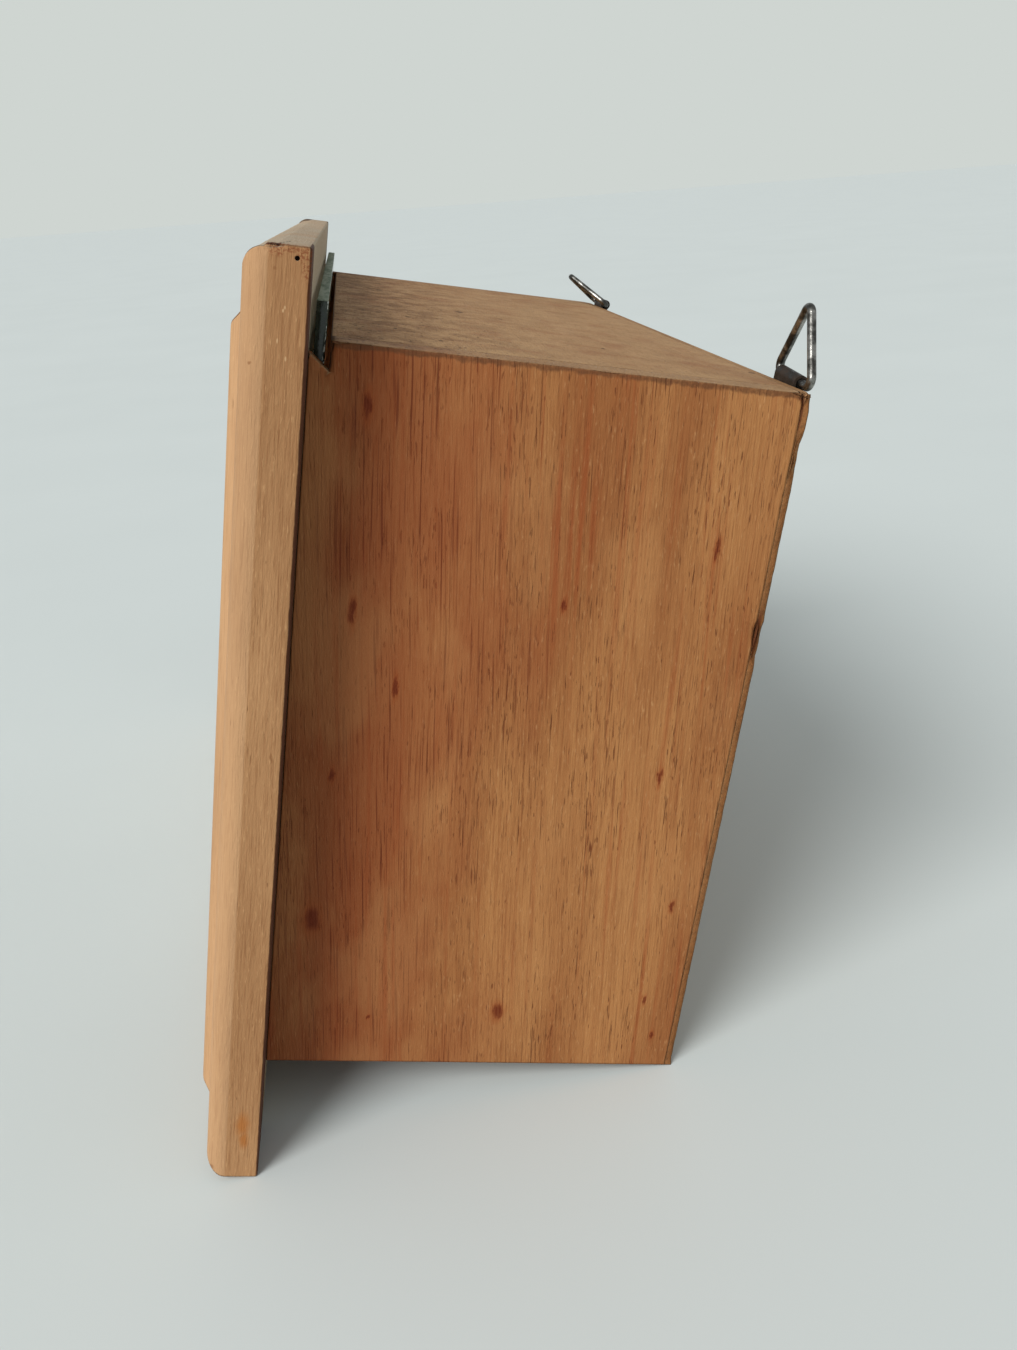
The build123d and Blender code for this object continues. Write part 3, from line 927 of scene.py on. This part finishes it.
def drill(piece, mouth, inward, radius, depth):
    """Cuts a blind hole inward from the mouth, a point on the surface."""
    bits = bmesh.new()
    turn = inward.to_track_quat("Z", "Y").to_matrix().to_4x4()
    middle = Matrix.Translation(mouth + inward * (depth - MM) / 2)
    bmesh.ops.create_cone(
        bits, cap_ends=True, segments=22, radius1=radius * 1.12, radius2=radius * 0.94,
        depth=depth + MM, matrix=middle @ turn,
    )
    mesh = bpy.data.meshes.new("bits")
    bits.to_mesh(mesh)
    bits.free()
    cutter = bpy.data.objects.new("bits", mesh)
    bpy.context.collection.objects.link(cutter)
    cut = piece.modifiers.new("holes", "BOOLEAN")
    cut.operation = "DIFFERENCE"
    cut.solver = "EXACT"
    cut.object = cutter
    graph = bpy.context.evaluated_depsgraph_get()
    whole = piece.data
    piece.data = bpy.data.meshes.new_from_object(piece.evaluated_get(graph))
    piece.modifiers.remove(cut)
    bpy.data.objects.remove(cutter)
    bpy.data.meshes.remove(whole)


HOLE_SHARE = 0.68  # the wood has closed in on the open pin holes
HOLE_GAP = 0.05 * MM  # wood left between a hole's floor and its pin


def build_frame(rail, stile):
    """The four members, with an open pin hole at the top of each stile."""
    frame_member("top_rail", "frame_top_rail", False, 1, rail, True)
    frame_member("bottom_rail", "frame_bottom_rail", False, -1, rail)
    left = frame_member("left_stile", "frame_left_stile", True, -1, stile)
    right = frame_member("right_stile", "frame_right_stile", True, 1, stile, True)
    for piece, side in ((left, -1), (right, 1)):
        own_pins = [nail for nail in loose_parts("mitre_pins") if nail[0].x * side > 0]
        head = max(own_pins, key=lambda nail: nail[0].z)
        mouth = Vector((side * HALF_WIDTH, head[0].y, head[0].z))
        sunk = HALF_WIDTH - max(abs(head[1].x), abs(head[2].x))
        drill(piece, mouth, Vector((-side, 0, 0)), head[3] * HOLE_SHARE, sunk - HOLE_GAP)


# ---- glass
def build_glass(clear, ends, rim):
    """The pane, with its faces, its cut ends and its ground edges in three materials."""
    solid = cad_shape("glass_pane")
    soften(solid, 0.22)
    low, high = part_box("glass_pane")
    slice_across(solid, 0, steps(low.x, high.x, 6 * MM, 0.6 * MM))
    slice_across(solid, 2, steps(low.z, high.z, 4 * MM, 0.6 * MM))
    bites = [((100.6, -37.2, 165), 1.0, 0.15), ((100.6, -39.2, 171), 0.9, 0.12)]
    weather(solid, 0.0, 0.08, bites)

    def cut_face(face):
        if abs(face.normal.y) > 0.9:
            return 0
        return 2 if abs(face.normal.z) > 0.5 else 1

    make_piece("pane", solid, [clear, ends, rim], "glass", ["glass_pane"], cut_face)


# ---- nails and pins
PANEL_PIN_HEAD = 0.4 * MM  # how thick a head is
TACK_HEAD = 0.7 * MM


def loose_parts(node):
    """The separate nails of a CAD node: middle, low corner, high corner and shank radius of each."""
    solid = bmesh.new()
    solid.from_mesh(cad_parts[node].data)
    bmesh.ops.remove_doubles(solid, verts=solid.verts, dist=0.004 * MM)
    left = set(solid.verts)
    found = []
    while left:
        reached = [left.pop()]
        for vert in reached:
            for edge in vert.link_edges:
                other = edge.other_vert(vert)
                if other in left:
                    left.remove(other)
                    reached.append(other)
        low = Vector([min(vert.co[n] for vert in reached) for n in range(3)])
        high = Vector([max(vert.co[n] for vert in reached) for n in range(3)])
        found.append(((low + high) / 2, low, high, shank_radius([v.co for v in reached], low, high)))
    solid.free()
    return found


def shank_radius(points, low, high):
    """The radius at a nail's thin end."""
    size = high - low
    axis = max(range(3), key=lambda n: size[n])
    across = (axis + 1) % 3
    middle = (low[across] + high[across]) / 2
    widest = []
    for end in (low, high):
        at_end = [p for p in points if abs(p[axis] - end[axis]) < 1e-6]
        widest.append(max(abs(p[across] - middle) for p in at_end))
    return min(widest)


def turned(solid, outline, start, way, wobble):
    """A turned shape: outline is pairs of distance along the way from start, and radius."""
    side = way.orthogonal().normalized()
    other = way.cross(side)
    count = 20
    rings = []
    for reach, radius in outline:
        ring = []
        for n in range(count):
            angle = 2 * math.pi * n / count
            out = side * math.cos(angle) + other * math.sin(angle)
            spot = start + way * reach + out * radius
            uneven = 1 - wobble * rough_noise(spot, (0.6, 0.6, 0.6), 3)
            ring.append(solid.verts.new(start + way * reach + out * radius * uneven))
        rings.append(ring)
    join_loops(solid, rings)
    for ring, reach in ((rings[0], outline[0][0]), (rings[-1], outline[-1][0])):
        tip = solid.verts.new(start + way * reach)
        for n in range(count):
            solid.faces.new((ring[n], ring[(n + 1) % count], tip))


def nail_outline(length, radius, head_radius, head):
    """A wire nail: a low domed head, ribs under it, a plain shank and a cut point."""
    if head:
        curve = [(0.0, 0.3), (0.12, 0.62), (0.34, 0.86), (0.6, 0.98), (0.82, 1.0), (1.0, 0.93)]
        dome = [(head * reach, head_radius * share) for reach, share in curve]
        dome += [(head + 0.02 * MM, radius)]
    else:
        curve = [(0.0, 0.72), (0.06, 0.94), (0.5, 1.0), (1.1, 0.97)]
        dome = [(reach * MM, radius * share) for reach, share in curve]
    ribs = []
    for n in range(4):
        reach = head + (1.3 + 0.5 * n) * MM
        rib = [(0.0, 0.98), (0.16, 0.9), (0.32, 0.98)]
        ribs += [(reach + along_it * MM, radius * share) for along_it, share in rib]
    point = [(length - 3.2 * radius, radius * 0.98), (length - 1.4 * radius, radius * 0.55)]
    return dome + ribs + point + [(length - 0.1 * radius, radius * 0.1)]


def build_nails(name, node, material, head=0.0):
    """Nails where the CAD node has them. The head is at the end away from the wood's middle."""
    solid = bmesh.new()
    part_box(node)  # stops if there is no such node
    for middle, first, last, radius in loose_parts(node):
        size = last - first
        axis = max(range(3), key=lambda n: size[n])
        way = Vector([1.0 if n == axis else 0.0 for n in range(3)])
        backwards = head > 0 if axis == 1 else middle[axis] > 0
        if backwards:
            way = -way
        start = middle - way * size[axis] / 2
        head_radius = size[(axis + 1) % 3] / 2
        turned(solid, nail_outline(size[axis], radius, head_radius, head), start, way, 0.05)
    make_piece(name, solid, [material], "case", [node])


# ---- stage
def make_stage():
    """A plain pale floor, in the plane of the two edges that the leaning box rests on."""
    slope = (FLOOR_HEEL - FLOOR_FOOT).normalized()
    side = Vector((1, 0, 0))
    reach = 20.0
    corners = [
        FLOOR_FOOT + side * a * reach + slope * b * reach
        for a, b in ((-1, -1), (1, -1), (1, 1), (-1, 1))
    ]
    mesh = bpy.data.meshes.new("floor")
    mesh.from_pydata([tuple(c) for c in corners], [], [(0, 1, 2, 3)])
    floor = bpy.data.objects.new("floor", mesh)
    bpy.context.collection.objects.link(floor)
    paint = Recipe("floor")
    haze = paint.cloud((160, 160, 160), 3.0)
    paint.set(
        Base_Color=paint.blend(haze, (0.60, 0.645, 0.628, 1), (0.64, 0.685, 0.668, 1)),
        Roughness=paint.smooth(haze, 0.3, 0.7, 0.85, 0.95), Specular_IOR_Level=0.1,
    )
    mesh.materials.append(paint.material)


def make_light():
    """Soft light from all round and from a broad window in front, to the right."""
    world = bpy.data.worlds.new("studio")
    bpy.context.scene.world = world
    world.use_nodes = True
    tree = world.node_tree
    room = tree.nodes["Background"]
    room.inputs["Color"].default_value = (0.95, 0.985, 1.0, 1)
    room.inputs["Strength"].default_value = 0.5
    wall = tree.nodes.new("ShaderNodeBackground")
    wall.inputs["Color"].default_value = tint(207, 213, 209)
    path = tree.nodes.new("ShaderNodeLightPath")
    seen = tree.nodes.new("ShaderNodeMixShader")
    tree.links.new(path.outputs["Is Camera Ray"], seen.inputs[0])
    tree.links.new(room.outputs[0], seen.inputs[1])
    tree.links.new(wall.outputs[0], seen.inputs[2])
    tree.links.new(seen.outputs[0], tree.nodes["World Output"].inputs["Surface"])
    lamp = bpy.data.lights.new("window", "SUN")
    lamp.energy = 2.6
    lamp.angle = math.radians(32)
    window = bpy.data.objects.new("window", lamp)
    window.location = (1.65, -1.9, 1.42)
    window.rotation_euler = window.location.to_track_quat("Z", "Y").to_euler()
    bpy.context.collection.objects.link(window)
    bpy.context.scene.view_settings.view_transform = "Standard"


STRAP_EDGE = 0.12


def dress(node, material, edge=0.0):
    """Gives a carried-over CAD node its finish, and rounds its sharp edges by edge millimetres."""
    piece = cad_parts[node]
    for slot in piece.material_slots:
        slot.material = material
    if not piece.material_slots:
        piece.data.materials.append(material)
    if edge:
        rounding = piece.modifiers.new("soft_edges", "BEVEL")
        rounding.width = edge * MM
        rounding.segments = 3
        rounding.limit_method = "ANGLE"
        rounding.angle_limit = math.radians(35)


make_camera()
make_stage()
make_light()
build_case(side_wood(), top_wood(), back_wood())
build_frame(frame_wood("rail_wood", 0), frame_wood("stile_wood", 2))
build_glass(clear_glass(), glass_ends(), glass_rim())
wire = dark_wire()
strap = rusty_strap()
nail = nail_steel()
build_nails("corner_pins", "mitre_pins", nail)
build_nails("brads", "frame_brads", nail)
build_nails("panel_pins", "back_pins", nail, PANEL_PIN_HEAD)
build_nails("hanger_tacks", "hanger_nails", nail, TACK_HEAD)
for hand in ("left", "right"):
    dress("hanger_ring_" + hand, wire)
    dress("hanger_strap_" + hand, strap, STRAP_EDGE)
